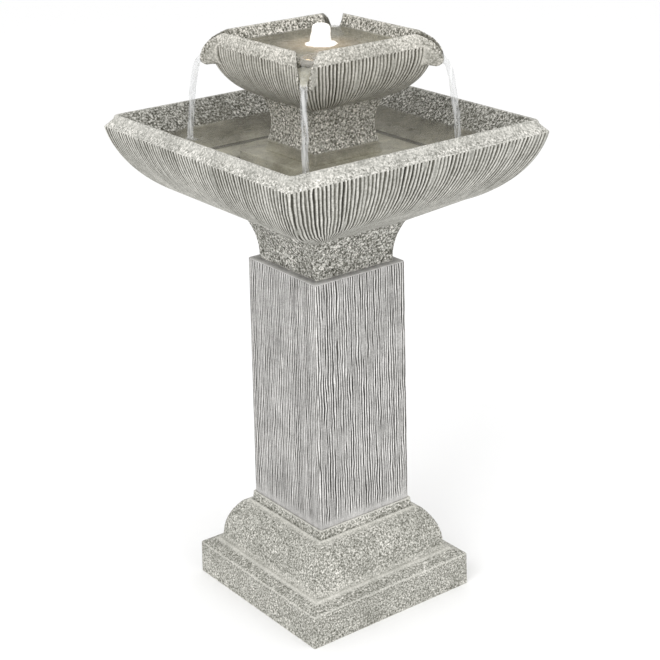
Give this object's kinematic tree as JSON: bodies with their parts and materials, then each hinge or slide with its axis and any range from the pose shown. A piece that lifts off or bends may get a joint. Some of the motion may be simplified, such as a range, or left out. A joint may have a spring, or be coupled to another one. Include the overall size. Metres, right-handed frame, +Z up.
{
  "type": "tiered water fountain",
  "caption": "Square pedestal garden fountain: wide ribbed basin on a fluted column, smaller spouted bowl above, with a submersible pump and a lit bubbler.",
  "frame": {"origin": "centre of the square footprint, on the ground", "axes": "+Z up; the castings' sides are parallel to X and Y; the cable leaves the base at +Y"},
  "size_m": [0.47, 0.47, 0.894],
  "materials": {
    "cast_base": "matte",
    "cast_column": "matte",
    "cast_lower_bowl": "matte",
    "cast_upper_bowl": "matte",
    "pump_plastic": "satin",
    "pump_cover": "satin",
    "lamination_steel": "satin",
    "copper_winding": "satin",
    "potting_resin": "gloss",
    "black_rubber": "matte",
    "shaft_ceramic": "gloss",
    "ferrite": "satin",
    "impeller_plastic": "satin",
    "filter_foam": "matte",
    "clear_hose": "gloss",
    "white_plastic": "satin",
    "clear_lens": "gloss",
    "lamp": "gloss"
  },
  "bodies": {
    "root": {"base_casting": "cast_base", "column": "cast_column", "rear_grommet": "black_rubber"},
    "lower_bowl": {"lower_bowl": "cast_lower_bowl", "floor_grommet": "black_rubber", "pump_housing": "pump_plastic", "suction_cups": "black_rubber", "stator_core": "lamination_steel", "stator_coil": "copper_winding", "motor_potting": "potting_resin", "volute_cover": "pump_cover", "rear_bush": "black_rubber", "front_bush": "black_rubber", "pump_shaft": "shaft_ceramic", "seal_ring": "black_rubber", "outlet_nipple": "pump_cover", "pump_cable_gland": "black_rubber", "light_socket": "pump_plastic"},
    "rotor": {"rotor_magnet": "ferrite", "impeller": "impeller_plastic"},
    "strainer": {"strainer_cover": "pump_cover", "filter_sponge": "filter_foam"},
    "flow_dial": {"flow_dial": "impeller_plastic"},
    "upper_bowl": {"upper_bowl": "cast_upper_bowl", "bulkhead_fitting": "white_plastic", "bulkhead_gasket": "black_rubber", "bulkhead_nut": "white_plastic", "bubbler_nozzle": "white_plastic", "light_ring_housing": "white_plastic", "light_ring_lens": "clear_lens", "light_lamps": "lamp", "light_lead": "black_rubber", "lead_grommet": "black_rubber", "light_plug": "black_rubber", "riser_tube": "clear_hose"}
  },
  "joints": [
    {"name": "lower_bowl_lift", "type": "slide", "parent": "root", "child": "lower_bowl", "axis": [0, 0, 1], "range_m": [0, 0.1]},
    {"name": "upper_bowl_lift", "type": "slide", "parent": "lower_bowl", "child": "upper_bowl", "axis": [0, 0, 1], "range_m": [0, 0.16]},
    {"name": "impeller_spin", "type": "hinge", "parent": "lower_bowl", "child": "rotor", "pos_m": [0, 0, 0.749], "axis": [0, 1, 0], "continuous": true},
    {"name": "strainer_slide", "type": "slide", "parent": "lower_bowl", "child": "strainer", "axis": [0, -1, 0], "range_m": [0, 0.012]},
    {"name": "flow_dial_turn", "type": "hinge", "parent": "strainer", "child": "flow_dial", "pos_m": [0, 0, 0.749], "axis": [0, 1, 0], "range_deg": [0, 90]}
  ]
}
